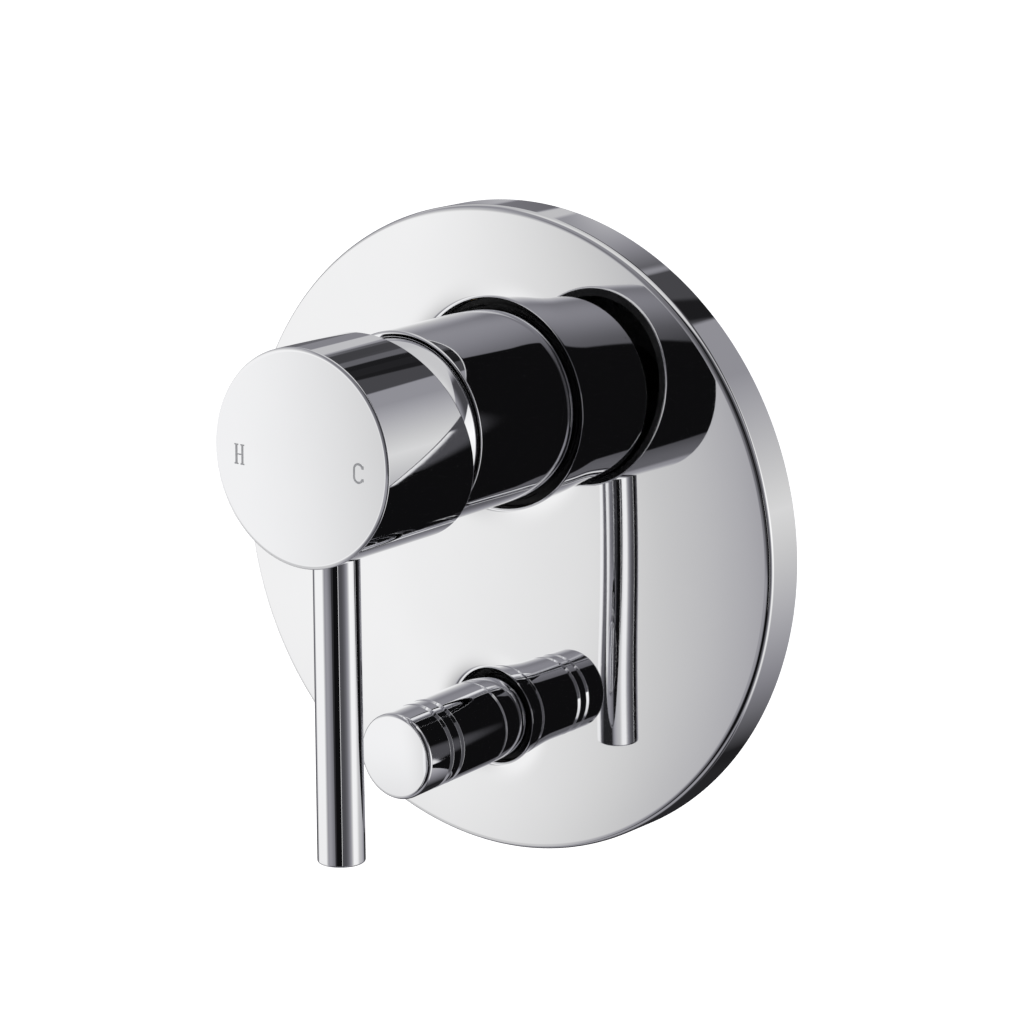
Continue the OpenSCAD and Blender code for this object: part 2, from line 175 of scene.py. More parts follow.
def plastic(name, a, c, rough):
    m, nt, b = new_material(name)
    v = coords(nt)
    nt.links.new(ramp(nt, noise(nt, v, 90, 3), [(0.3, a), (0.7, c)]), b.inputs["Base Color"])
    g = noise(nt, v, 2600, 3, 0.6)
    nt.links.new(span(nt, g, 0.3, 0.7, rough - 0.07, rough + 0.07), b.inputs["Roughness"])
    bump(nt, b, g, 0.3, 0.00005)
    return m


def steel(name, a, c, rough):
    m, nt, b = new_material(name)
    v = coords(nt)
    nt.links.new(ramp(nt, noise(nt, v, 240, 4), [(0.3, a), (0.7, c)]), b.inputs["Base Color"])
    b.inputs["Metallic"].default_value = 1.0
    g = noise(nt, v, 1800, 3, 0.6)
    nt.links.new(span(nt, g, 0.3, 0.7, rough - 0.06, rough + 0.08), b.inputs["Roughness"])
    bump(nt, b, g, 0.2, 0.00003)
    return m


def rubber(name, a, c, rough, cell, depth):
    m, nt, b = new_material(name)
    v = coords(nt)
    g = noise(nt, v, cell, 5, 0.7)
    nt.links.new(ramp(nt, g, [(0.3, a), (0.7, c)]), b.inputs["Base Color"])
    nt.links.new(span(nt, g, 0.3, 0.7, rough - 0.1, rough + 0.1), b.inputs["Roughness"])
    bump(nt, b, g, 0.6, depth)
    return m


def dull_dark_metal_with_painted_shade(name, a, c):
    """Rough inside of die-cast metal, dull; its colour is darkened near to black as painted shade for the shadow
    inside the hollow knob.
    """
    m, nt, b = new_material(name)
    v = coords(nt)
    g = noise(nt, v, 700, 5, 0.7)
    nt.links.new(ramp(nt, noise(nt, v, 150, 4, 0.6), [(0.3, a), (0.7, c)]), b.inputs["Base Color"])
    b.inputs["Metallic"].default_value = 0.6
    nt.links.new(span(nt, g, 0.3, 0.7, 0.5, 0.7), b.inputs["Roughness"])
    bump(nt, b, g, 0.5, 0.0002)
    return m


MATS = {
    "chrome_polished": chrome("chrome_polished"),
    "brass_cast": brass("brass_cast", True),
    "brass_turned": brass("brass_turned", False),
    "plastic_white": plastic("plastic_white", (0.78, 0.78, 0.74), (0.86, 0.86, 0.83), 0.42),
    "plastic_grey": plastic("plastic_grey", (0.13, 0.135, 0.145), (0.2, 0.205, 0.215), 0.45),
    "ceramic_white": plastic("ceramic_white", (0.86, 0.85, 0.82), (0.92, 0.915, 0.9), 0.16),
    "steel_bright": steel("steel_bright", (0.56, 0.565, 0.58), (0.7, 0.705, 0.72), 0.24),
    "steel_dark": steel("steel_dark", (0.12, 0.12, 0.125), (0.2, 0.2, 0.21), 0.38),
    "rubber_black": rubber("rubber_black", (0.006, 0.006, 0.0065), (0.016, 0.016, 0.017), 0.6, 900, 0.00006),
    "foam_black": rubber("foam_black", (0.02, 0.02, 0.021), (0.06, 0.06, 0.062), 0.85, 1400, 0.0005),
    "letter_grey": steel("letter_grey", (0.44, 0.445, 0.46), (0.54, 0.545, 0.56), 0.42),
}
MIRROR = chrome("chrome_plate", (0.925, 0.925, 0.932), 0.018, 0.03)
MIRROR_KNOB = chrome("chrome_knob", (0.93, 0.932, 0.945), 0.02, 0.08)
# inside of the knob, its hub and the pin's boss: dull die-cast metal, its colour darkened near to black as painted
# shade for the shadow in the knob's hollow
KNOB_INSIDE_DARKENED_AS_SHADE = dull_dark_metal_with_painted_shade("inside_metal_painted_shade", (0.012, 0.012, 0.013), (0.03, 0.03, 0.032))

record_slots = {s["node"]: s["material_slot"] for s in frame["record"]["subparts"]}
for name, o in nodes.items():
    m = MATS[record_slots[name]]
    if not o.material_slots:
        o.data.materials.append(m)
    for s in o.material_slots:
        s.material = m


# ================================================================ mesh making
# Points are (x, y, z) in mm in the part's frame; "out" is the distance out of the wall, so y = -out.
class Surf:
    """One closed mesh whose corners carry the exact normal of the surface they lie on."""

    def __init__(self):
        self.points, self.index, self.faces, self.normals, self.slots = [], {}, [], [], []
        self.use = 0

    def vert(self, p):
        k = (round(p[0] * 2e3), round(p[1] * 2e3), round(p[2] * 2e3))
        if k not in self.index:
            self.index[k] = len(self.points)
            self.points.append(p)
        return self.index[k]

    def face(self, pts, nrm):
        ids = [self.vert(p) for p in pts]
        keep = [i for i in range(len(ids)) if ids[i] != ids[i - 1]]
        if len(keep) < 3 or len({ids[i] for i in keep}) < 3:
            return
        ids, nrm = [ids[i] for i in keep], [Vector(nrm[i]).normalized() for i in keep]
        q = [Vector(self.points[i]) for i in ids]
        g = Vector((0, 0, 0))
        for i in range(1, len(q) - 1):
            g += (q[i] - q[0]).cross(q[i + 1] - q[0])
        if g.dot(sum(nrm, Vector((0, 0, 0)))) < 0:
            ids.reverse()
            nrm.reverse()
        self.faces.append(ids)
        self.slots.append(self.use)
        self.normals.extend(nrm)

    def grid(self, pts, nrm):
        for i in range(len(pts) - 1):
            for j in range(len(pts[i]) - 1):
                c = ((i, j), (i + 1, j), (i + 1, j + 1), (i, j + 1))
                self.face([pts[m][n] for m, n in c], [nrm[m][n] for m, n in c])

    def build(self, name, *materials):
        me = bpy.data.meshes.new(name)
        me.from_pydata([Vector(p) / 1000 for p in self.points], [], self.faces)
        for material in materials:
            me.materials.append(material)
        me.polygons.foreach_set("material_index", self.slots)
        me.polygons.foreach_set("use_smooth", [True] * len(me.polygons))
        me.normals_split_custom_set([tuple(n) for n in self.normals])
        o = bpy.data.objects.new(name, me)
        scene.collection.objects.link(o)
        return o


def turn(k, n):
    a = 2 * math.pi * (k % n) / n
    return math.cos(a), math.sin(a)


def path(corners, closed):
    """Lines and tangent arcs through corners (r, out, rounding), solid on the left: a list of runs of (r, out, nr, no)."""
    n = len(corners)
    runs, ends = [], []
    for i, c in enumerate(corners):
        f = c[2] if len(c) > 2 else 0
        if f == 0 or (not closed and i in (0, n - 1)):
            ends.append((c[:2], c[:2], None))
            continue
        a, b = Vector(corners[i - 1][:2]), Vector(corners[(i + 1) % n][:2])
        q = Vector(c[:2])
        u, v = (a - q).normalized(), (b - q).normalized()
        half = u.angle(v) / 2
        t = f / math.tan(half)
        ends.append(((q + u * t)[:], (q + v * t)[:], max(4, int(math.degrees(math.pi - 2 * half) / 7))))
    for i in range(n):
        j = (i + 1) % n
        if j == 0 and not closed:
            break
        p, q = Vector(ends[i][1]), Vector(ends[j][0])
        d = (q - p)
        if d.length > 1e-6:
            d.normalize()
            m = max(1, int((q - p).length / 2.5))
            runs.append([(*(p + (q - p) * k / m), d[1], -d[0]) for k in range(m + 1)])
        if ends[j][2]:
            a, b = Vector(ends[j][0]), Vector(ends[j][1])
            c = Vector(corners[j][:2])
            d0, d1 = (c - a).normalized(), (b - c).normalized()
            n0, n1 = Vector((d0[1], -d0[0])), Vector((d1[1], -d1[0]))
            left = d0[0] * d1[1] - d0[1] * d1[0] > 0
            f = corners[j][2]
            centre = a - n0 * f if left else a + n0 * f
            a0, a1 = math.atan2(n0[1], n0[0]), math.atan2(n1[1], n1[0])
            while left and a1 < a0:
                a1 += 2 * math.pi
            while not left and a1 > a0:
                a1 -= 2 * math.pi
            run = []
            for k in range(ends[j][2] + 1):
                g = a0 + (a1 - a0) * k / ends[j][2]
                nn = Vector((math.cos(g), math.sin(g)))
                pt = centre + nn * f if left else centre - nn * f
                if k == 0:
                    pt = a
                if k == ends[j][2]:
                    pt = b
                run.append((pt[0], pt[1], nn[0], nn[1]))
            runs.append(run)
    return runs


def curve(cr, co, rad, a0, a1, n, sign=1):
    """An arc as a run, angles in degrees; sign -1 for a hollow side."""
    out = []
    for k in range(n + 1):
        g = math.radians(a0 + (a1 - a0) * k / n)
        out.append((cr + rad * math.cos(g), co + rad * math.sin(g), sign * math.cos(g), sign * math.sin(g)))
    return out


def droop(hang, start, bore, skin):
    """How far a tube's skin lies above its own axis: nothing at its bore and its front, hang mm at the plate."""
    def up(r, out):
        return hang * min(max((start - out) / (start - 11.0), 0.0), 1.0) * min(max((r - bore) / (skin - bore), 0.0), 1.0)
    return up


def lathe(surf, runs, centre_z, seg, drift=None):
    for run in runs:
        pts, nrm = [], []
        for r, out, nr, no in run:
            row, nrow = [], []
            up = drift(r, out) if drift else 0.0
            for k in range(seg + 1):
                c, s = turn(k, seg)
                row.append((max(r, 0) * c, -out, centre_z + up + max(r, 0) * s))
                nrow.append((nr * c, -no, nr * s))
            pts.append(row)
            nrm.append(nrow)
        surf.grid(pts, nrm)
    return surf


def stand_in(o, body, slot, *cad):
    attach(o, body)
    if cad:
        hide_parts(*cad)
    return o


def flat_cut(points, edges, keep):
    """Triangles over 2-D points with constraint edges, those whose middle passes keep(x, y)."""
    v, _, f, ov, _, _ = delaunay_2d_cdt([Vector(p) for p in points], edges, [], 0, 1e-5)
    co = [Vector(points[ov[i][0]]) if ov[i] else Vector(v[i]) for i in range(len(v))]
    tris = []
    for t in f:
        m = sum((co[i] for i in t), Vector((0, 0))) / 3
        if keep(m[0], m[1]):
            tris.append(list(t))
    return co, tris


# ---------------------------------------------------------------- cover plate
HOLES = ((MIX_Z + HANG_U, HOLE_U, 256), (DIV_Z + HANG_L, HOLE_L, 192))
LEAN = (math.radians(1.14), math.radians(0.33))     # the plate hangs a little askew on its seals
SLOPES = [0.0, 0.0, 0.05, 0.75, 1.31, 2.55, 4.4]    # fall of the face in degrees, every 15 mm from the middle


def crown_out(x, z, k=0.0):
    """Height of the crowned face, or of the surface k below it."""
    d = max(math.hypot(x, z) - FLAT_R, 0)
    h = FACE - CROWN_R + math.sqrt((CROWN_R - k) ** 2 - d * d)
    for zc, hr, _ in HOLES:
        q = (math.hypot(x, z - zc) - hr - ROLL) / SINK_W
        if q < 1:
            h -= SINK * (1 - max(q, 0)) ** 3
    return h


def fall(rho):
    t = min(rho / 15, 4.999)
    i = int(t)
    t -= i
    p = [SLOPES[abs(i - 1)], SLOPES[i], SLOPES[i + 1], SLOPES[i + 2]]
    v = p[1] + 0.5 * t * (p[2] - p[0] + t * (2 * p[0] - 5 * p[1] + 4 * p[2] - p[3] + t * (3 * (p[1] - p[2]) + p[3] - p[0])))
    return math.radians(v)


def crown_normal(x, z):
    """Normal of the face as it really reflects: pressed sheet, gently domed, not quite square to the wall."""
    rho = math.hypot(x, z)
    g = fall(rho) / rho if rho else 0
    nx, nz = g * x + LEAN[0], g * z + LEAN[1]
    for zc, hr, _ in HOLES:
        r = math.hypot(x, z - zc)
        q = (r - hr - ROLL) / SINK_W
        if q < 1:
            f = 3 * SINK / SINK_W * (1 - max(q, 0)) ** 2 / r
            nx -= f * x
            nz -= f * (z - zc)
    return Vector((nx, -1, nz)).normalized()


def plate_mesh():
    S, seg = Surf(), 384
    fc_r = PLATE_R - FILLET
    fc_o = FACE - CROWN_R + math.sqrt((CROWN_R - FILLET) ** 2 - (fc_r - FLAT_R) ** 2)
    top_a = math.degrees(math.atan2(fc_o - FACE + CROWN_R, fc_r - FLAT_R))
    rad = math.radians(top_a)
    r_out, r_in = fc_r + FILLET * math.cos(rad), fc_r + (FILLET - PLATE_T) * math.cos(rad)
    # rounding of the rim's front edge; its shading runs into that of the face
    P, N = [], []
    for m in range(21):
        a = rad * m / 20
        P.append([]), N.append([])
        for k in range(seg + 1):
            c, s = turn(k, seg)
            r = fc_r + FILLET * math.cos(a)
            w = (m / 20) ** 3
            P[-1].append((r * c, -(fc_o + FILLET * math.sin(a)), r * s))
            N[-1].append(Vector((c * math.cos(a), -math.sin(a), s * math.cos(a))).lerp(crown_normal(r_out * c, r_out * s), w))
    S.grid(P, N)
    runs = path([(PLATE_R - PLATE_T, 0), (PLATE_R, 0, 0.25), (PLATE_R, fc_o)], False)
    runs += [[(PLATE_R - PLATE_T, fc_o * k / 4, -1, 0) for k in range(5)]]
    runs += [curve(fc_r, fc_o, FILLET - PLATE_T, 0, top_a, 8, -1)]
    lathe(S, runs, 0, seg)
    for under in (False, True):
        ring_r = r_in if under else r_out
        k = PLATE_T if under else 0.0
        pts = [(ring_r * turn(i, seg)[0], ring_r * turn(i, seg)[1]) for i in range(seg)]
        edges = [(i, (i + 1) % seg) for i in range(seg)]
        rims = []
        for zc, hr, n in HOLES:
            hole = hr + (PLATE_T if under else ROLL)
            rims.append((zc, hole))
            base = len(pts)
            pts += [(hole * turn(i, n)[0], zc + hole * turn(i, n)[1]) for i in range(n)]
            edges += [(base + i, base + (i + 1) % n) for i in range(n)]
            for extra in (0.5, 1.1, 1.8, 2.6, 3.6, 4.8, 6.2) if not under else (0.7, 2.0):
                pts += [((hole + extra) * turn(i, n // 2)[0], zc + (hole + extra) * turn(i, n // 2)[1]) for i in range(n // 2)]
        rings = [72.9, 71.9, 70.4] + [69 - 2.5 * i for i in range(27)]
        clear = 2.7 if under else 7.4
        for rr in rings:
            if rr >= ring_r - 0.25:
                continue
            n = max(12, int(2 * math.pi * rr / 2.6)) if rr < 72 else seg // 2
            for i in range(n):
                x, z = rr * turn(i, n)[0], rr * turn(i, n)[1]
                if all(math.hypot(x, z - zc) > hole + clear for zc, hole in rims):
                    pts.append((x, z))
        co, tris = flat_cut(pts, edges, lambda x, z: math.hypot(x, z) < ring_r and all(math.hypot(x, z - c) > h for c, h in rims))
        for t in tris:
            S.face([(co[i][0], -crown_out(co[i][0], co[i][1], k), co[i][1]) for i in t],
                   [crown_normal(co[i][0], co[i][1]) * (-1 if under else 1) for i in t])
    start = 3 * SINK / SINK_W                       # slope at which the roll begins
    a0 = math.atan(start)
    for zc, hr, n in HOLES:
        P, N = [], []
        for m in range(19):
            a = a0 + (math.pi / 2 - a0) * m / 18
            row, nrow = [], []
            for i in range(n + 1):
                c, s = turn(i, n)
                ox, oz = (hr + ROLL) * c, zc + (hr + ROLL) * s
                h, cn = crown_out(ox, oz), crown_normal(ox, oz)
                R = ROLL / (1 - math.sin(a0))
                d = hr + ROLL - R * (math.sin(a) - math.sin(a0))
                row.append((d * c, -(h - R * (math.cos(a0) - math.cos(a))), zc + d * s))
                w = (a - a0) / (math.pi / 2 - a0)
                nrow.append((Vector((-c * math.sin(a), -math.cos(a), -s * math.sin(a)))).lerp(cn, (1 - w) ** 3))
            P.append(row)
            N.append(nrow)
        S.grid(P, N)
        drop = ROLL / (1 - math.sin(a0)) * math.cos(a0)
        wall, wn, back, bn, low, ln = [], [], [], [], [], []
        for m in range(3):
            wall.append([]), wn.append([]), back.append([]), bn.append([])
            for i in range(n + 1):
                c, s = turn(i, n)
                h = crown_out((hr + ROLL) * c, zc + (hr + ROLL) * s) - drop
                wall[-1].append((hr * c, -(5.2 + (h - 5.2) * m / 2), zc + hr * s))
                wn[-1].append((-c, 0, -s))
                q = hr + PLATE_T
                h = crown_out(q * c, zc + q * s, PLATE_T)
                back[-1].append((q * c, -(5.2 + (h - 5.2) * m / 2), zc + q * s))
                bn[-1].append((c, 0, s))
        S.grid(wall, wn)
        S.grid(back, bn)
        for q in (hr, hr + PLATE_T):
            low.append([(q * turn(i, n)[0], -5.2, zc + q * turn(i, n)[1]) for i in range(n + 1)])
            ln.append([(0, 1, 0)] * (n + 1))
        S.grid(low, ln)
    return S.build("wall_plate", MIRROR)


stand_in(plate_mesh(), "valve", "chrome_polished", "face_plate")


def seal(name, inner, outer, axis_z, end):
    """Rubber ring between a tube and its hole, with a groove that makes two lips."""
    S, n = Surf(), 192
    rows = []
    for r, out, nr, no in ((inner, 3.6, -1, 0), (inner, 5.6, -1, 0), (inner + 0.45, 6.1, -1, 0), (inner, 6.6, -1, 0),
                           (inner, 8.4, -1, 0.5), (inner + 0.2, 8.6, 0, 1), (outer - 0.2, 8.6, 0, 1),
                           (outer, 8.4, 1, 0.5), (outer, 3.6, 1, 0), (inner, 3.6, -1, 0)):
        rows.append(([(r * turn(k, n)[0], -out, axis_z + end + r * turn(k, n)[1]) for k in range(n + 1)],
                     [(nr * turn(k, n)[0], -no, nr * turn(k, n)[1]) for k in range(n + 1)]))
    S.grid([a for a, _ in rows[:-1]], [b for _, b in rows[:-1]])
    S.grid([rows[-2][0], rows[-1][0]], [[(0, 1, 0)] * (n + 1)] * 2)
    return S.build(name, MATS["rubber_black"])


stand_in(seal("seal_ring_upper", 22.22, HOLE_U - 0.03, MIX_Z, HANG_U), "valve", "rubber_black", "plate_seal_upper")
stand_in(seal("seal_ring_lower", 9.92, HOLE_L - 0.03, DIV_Z, HANG_L), "valve", "rubber_black", "plate_seal_lower")


def flared(r0, tip, start, end, n=14):
    """Run of a tube's outside that widens smoothly by tip from start to end towards the wall."""
    run = []
    for k in range(n + 1):
        t = 1 - k / n
        run.append((r0 + tip * t ** 3, end + (start - end) * k / n, 1, 3 * tip * t ** 2 / (start - end)))
    return run


# ---------------------------------------------------------------- cover sleeve and dome ring
SR, SF, BELL, BELL_AT = 22.2, 45.7, 0.5, 25.0
runs = path([(SR, BELL_AT), (SR, SF, 0.45), (21.28, SF, 0.12), (21.28, 3), (SR, 3)], False)
runs += [flared(SR, BELL, BELL_AT, 11.6), [(SR, 3, 1, 0), (SR, 9, 1, 0)], [(SR, 9, 0, -1), (SR + BELL, 9.4, 0, -1)]]
runs += [[(SR + BELL, 9.4, 1, 0), (SR + BELL, 11.6, 1, 0)]]
S = lathe(Surf(), runs, MIX_Z, 288, droop(HANG_U, 79.4, 21.28, SR))
stand_in(S.build("sleeve_shell", MIRROR_KNOB), "valve", "chrome_polished", "cover_sleeve")

PIVOT = 41.0
DOME_R = 21.1
DR = math.hypot(DOME_R, SF - PIVOT)
mouth = DR * math.sin(math.radians(42))
top_o, in_o = PIVOT + math.sqrt(DR ** 2 - mouth ** 2), PIVOT + math.sqrt(19.4 ** 2 - mouth ** 2)
in_lo = PIVOT + math.sqrt(19.4 ** 2 - 18.45 ** 2)
runs = [curve(0, PIVOT, DR, math.degrees(math.atan2(SF - PIVOT, DOME_R)), 48, 40)]
runs += [[(mouth, top_o, -1, 0), (mouth, in_o, -1, 0)]]
runs += [curve(0, PIVOT, 19.4, math.degrees(math.atan2(in_o - PIVOT, mouth)), math.degrees(math.atan2(in_lo - PIVOT, 18.45)), 24, -1)]
runs += path([(18.45, in_lo), (18.45, 38.1), (DOME_R, 38.1, 0.2), (DOME_R, SF)], False)
S = lathe(Surf(), runs, MIX_Z, 288)
stand_in(S.build("dome_shell", MIRROR_KNOB), "valve", "chrome_polished", "dome_ring")

# ---------------------------------------------------------------- drum knob
KR, KF, KIN, DISH = 24.1, 80.2, 22.0, 1600.0
FACE_R = 23.15                                  # where the face begins to fall to its bevelled edge
KE = KF - FACE_R ** 2 / 2 / DISH
FACE_LEAN = math.tan(math.radians(2.6))         # the face's polish is a little off square
SHIFT = droop(HANG_U, 79.4, KIN, KR)
REAR, SLOPE, SKEW = 52.9, math.tan(math.radians(14.7)), 0.075
MARK_H, MARK_DEPTH = 4.5, 0.26


def in_box(x, z, b):
    return b[0] < x < b[0] + b[2] and b[1] < z < b[1] + b[3]


def letters():
    """Outlines and inside tests of H and C, about the knob's axis."""
    h = MARK_H
    w, s = h * 0.62, h * 0.12
    ox, oz = -17.1, -1.3
    boxes = []
    for x in (-1, 1):
        boxes.append((ox + x * (w / 2 - s) - s / 2, oz - h / 2, s, h))
        for y in (-1, 1):
            boxes.append((ox + x * (w / 2 - s) - s, oz + y * (h / 2 - s / 4) - s / 4, 2 * s, s / 2))
    boxes.append((ox - w / 2 + s, oz - s / 4, w - 2 * s, s / 2))
    loops = [[(b[0], b[1]), (b[0] + b[2], b[1]), (b[0] + b[2], b[1] + b[3]), (b[0], b[1] + b[3])] for b in boxes]
    cx, cz, s2 = 16.0, -0.8, h * 0.11
    up = h / 2 - w / 2

    def stadium(r):
        q = []
        for k in range(25):
            a = math.pi * k / 24
            q.append((cx + r * math.cos(a), cz + up + r * math.sin(a)))
        for k in range(25):
            a = math.pi + math.pi * k / 24
            q.append((cx + r * math.cos(a), cz - up + r * math.sin(a)))
        return q

    cut = (cx, cz - h * 0.24, w, h * 0.46)
    ticks = [(cx + w / 2 - s2, cz + h * 0.2, s2, h * 0.18), (cx + w / 2 - s2, cz - h * 0.38, s2, h * 0.16)]
    loops += [stadium(w / 2), stadium(w / 2 - s2)]
    loops += [[(b[0], b[1]), (b[0] + b[2], b[1]), (b[0] + b[2], b[1] + b[3]), (b[0], b[1] + b[3])] for b in ticks + [cut]]

    def in_stadium(x, z, r):
        dz = max(abs(z - cz) - up, 0)
        return math.hypot(x - cx, dz) < r

    def inside(x, z):
        if any(in_box(x, z, b) for b in boxes):
            return True
        if in_box(x, z, cut):
            return False
        ring = in_stadium(x, z, w / 2) and not in_stadium(x, z, w / 2 - s2)
        return ring or any(in_box(x, z, b) for b in ticks)

    return loops, inside


def knob_mesh():
    S, seg, edge = Surf(), 384, 0.4
    rows = 16
    # the face falls through a wide soft bevel and a tight round into the side
    B1, A1 = 1.9, math.radians(67)
    B2 = (KR - FACE_R - B1 * math.cos(A1)) / (1 - math.cos(A1))
    bevel = curve(FACE_R, KE - B1, B1, 90, math.degrees(A1), 7)
    r1, o1 = FACE_R + B1 * math.cos(A1), KE - B1 + B1 * math.sin(A1)
    tight = curve(r1 - B2 * math.cos(A1), o1 - B2 * math.sin(A1), B2, math.degrees(A1), 0, 9)
    EDGE_O = o1 - B2 * math.sin(A1)
    rn = Vector((-SKEW, 1, SLOPE)).normalized()

    def rear(r, s, c):
        return REAR + SLOPE * r * s - SKEW * r * c

    P, N = [], []
    for m in range(rows + 1):
        P.append([]), N.append([])
        for k in range(seg + 1):
            c, s = turn(k, seg)
            lo = rear(KR, s, c) + edge
            out = lo + (EDGE_O - lo) * m / rows
            P[-1].append((KR * c, -out, MIX_Z + SHIFT(KR, out) + KR * s))
            N[-1].append((c, 0, s))
    S.grid(P, N)
    # softened rear edge
    P, N = [], []
    for m in range(7):
        a = math.radians(90 * m / 6)
        P.append([]), N.append([])
        for k in range(seg + 1):
            c, s = turn(k, seg)
            r = KR - edge + edge * math.cos(a)
            out = rear(KR, s, c) + edge - edge * math.sin(a) - (KR - r) * (SLOPE * s - SKEW * c) * math.sin(a)
            P[-1].append((r * c, -out, MIX_Z + SHIFT(r, out) + r * s))
            N[-1].append(Vector((c, 0, s)) * math.cos(a) + rn * math.sin(a))
    S.grid(P, N)
    last = P[-1]
    # the slanted rear rim, the inner wall and the ceiling of the hollow take the dark inside material, painted shade
    # for the shadow in there
    S.use = 1
    inner = [(KIN * turn(k, seg)[0], -rear(KIN, turn(k, seg)[1], turn(k, seg)[0]), MIX_Z + KIN * turn(k, seg)[1]) for k in range(seg + 1)]
    S.grid([last, inner], [[rn] * (seg + 1)] * 2)
    P, N = [], []
    for m in range(5):
        P.append([]), N.append([])
        for k in range(seg + 1):
            c, s = turn(k, seg)
            lo = rear(KIN, s, c)
            P[-1].append((KIN * c, -(lo + (76.7 - lo) * m / 4), MIX_Z + KIN * s))
            N[-1].append((-c, 0, -s))
    S.grid(P, N)
    lathe(S, [[(KIN, 76.7, 0, -1), (12, 76.7, 0, -1), (0, 76.7, 0, -1)]], MIX_Z, seg)
    S.use = 0
    lathe(S, [bevel, tight], MIX_Z, seg, SHIFT)
    loops, inside = letters()
    flat = FACE_R
    pts = [(flat * turn(k, seg)[0], flat * turn(k, seg)[1]) for k in range(seg)]
    edges = [(k, (k + 1) % seg) for k in range(seg)]
    for r in (22, 19.5, 11.5, 8, 4.5):
        pts += [(r * turn(k, 72)[0], r * turn(k, 72)[1]) for k in range(72) if not inside(r * turn(k, 72)[0], r * turn(k, 72)[1])]
    for loop in loops:
        base = len(pts)
        pts += loop
        edges += [(base + k, base + (k + 1) % len(loop)) for k in range(len(loop))]
    co, tris = flat_cut(pts, edges, lambda x, z: math.hypot(x, z) < flat)
    state, seen = [], {}
    for t in tris:
        m = sum((co[i] for i in t), Vector((0, 0))) / 3
        deep = inside(m[0], m[1])
        state.append(deep)
        for a, b in ((t[0], t[1]), (t[1], t[2]), (t[2], t[0])):
            seen.setdefault((min(a, b), max(a, b)), []).append((deep, m))

    def at(i, deep):
        return (co[i][0], -(KF - co[i].length_squared / 2 / DISH - (MARK_DEPTH if deep else 0)), MIX_Z + co[i][1])

    for t, deep in zip(tris, state):
        S.face([at(i, deep) for i in t], [(co[i][0] / DISH + FACE_LEAN, -1, co[i][1] / DISH) for i in t])
    for (a, b), sides in seen.items():
        if len(sides) == 2 and sides[0][0] != sides[1][0]:
            well = sides[0][1] if sides[0][0] else sides[1][1]
            d = (co[b] - co[a]).normalized()
            n = Vector((d[1], -d[0]))
            if n.dot(well - co[a]) < 0:
                n = -n
            S.face([at(a, False), at(b, False), at(b, True), at(a, True)], [(n[0], 0, n[1])] * 4)
    return S.build("knob_drum", MIRROR_KNOB, KNOB_INSIDE_DARKENED_AS_SHADE)


stand_in(knob_mesh(), "handle", "chrome_polished", "handle_knob")


def hub_mesh():
    """The hub inside the knob with its square socket, and the boss that the lever pin is screwed into."""
    S, seg = Surf(), 96
    lathe(S, path([(8, 62.8), (8, 77.0)], False) + [[(8, 77.0, 0, 1), (0, 77.0, 0, 1)]], MIX_Z, seg)
    q = 4.05
    pts = [(8 * turn(k, seg)[0], 8 * turn(k, seg)[1]) for k in range(seg)] + [(-q, -q), (q, -q), (q, q), (-q, q)]
    edges = [(k, (k + 1) % seg) for k in range(seg)] + [(seg, seg + 1), (seg + 1, seg + 2), (seg + 2, seg + 3), (seg + 3, seg)]
    co, tris = flat_cut(pts, edges, lambda x, z: not (abs(x) < q and abs(z) < q))
    for t in tris:
        S.face([(co[i][0], -62.8, MIX_Z + co[i][1]) for i in t], [(0, 1, 0)] * 3)
    c4 = [(-q, -q), (q, -q), (q, q), (-q, q)]
    for i in range(4):
        a, b = c4[i], c4[(i + 1) % 4]
        n = (-(a[0] + b[0]) / 2 / q, 0, -(a[1] + b[1]) / 2 / q)
        S.face([(a[0], -62.8, MIX_Z + a[1]), (b[0], -62.8, MIX_Z + b[1]), (b[0], -71.5, MIX_Z + b[1]), (a[0], -71.5, MIX_Z + a[1])], [n] * 4)
    S.face([(a[0], -71.5, MIX_Z + a[1]) for a in c4], [(0, 1, 0)] * 4)
    # hub and boss take the dark inside material too, painted shade for the shadow inside the knob
    hub = S.build("knob_hub", KNOB_INSIDE_DARKENED_AS_SHADE)
    S = Surf()
    for z0, z1 in ((-7.6, -22.3),):
        P, N = [], []
        for m in range(5):
            z = MIX_Z + z0 + (z1 - z0) * m / 4
            P.append([(7 * turn(k, seg)[0], -67.9 + 7 * turn(k, seg)[1], z) for k in range(seg + 1)])
            N.append([(turn(k, seg)[0], turn(k, seg)[1], 0) for k in range(seg + 1)])
        S.grid(P, N)
        for row, n in ((P[0], (0, 0, 1)), (P[-1], (0, 0, -1))):
            mid = (0, -67.9, row[0][2])
            for k in range(seg):
                S.face([mid, row[k], row[k + 1]], [n] * 3)
    return hub, S.build("pin_boss", KNOB_INSIDE_DARKENED_AS_SHADE)


for o in hub_mesh():
    stand_in(o, "handle", "chrome_polished")

# ---------------------------------------------------------------- lever pin
PT, PL, BOT = 5.2, 5.36, -64.0
SWING = math.radians(1.15)                     # the lever hangs a touch to the right


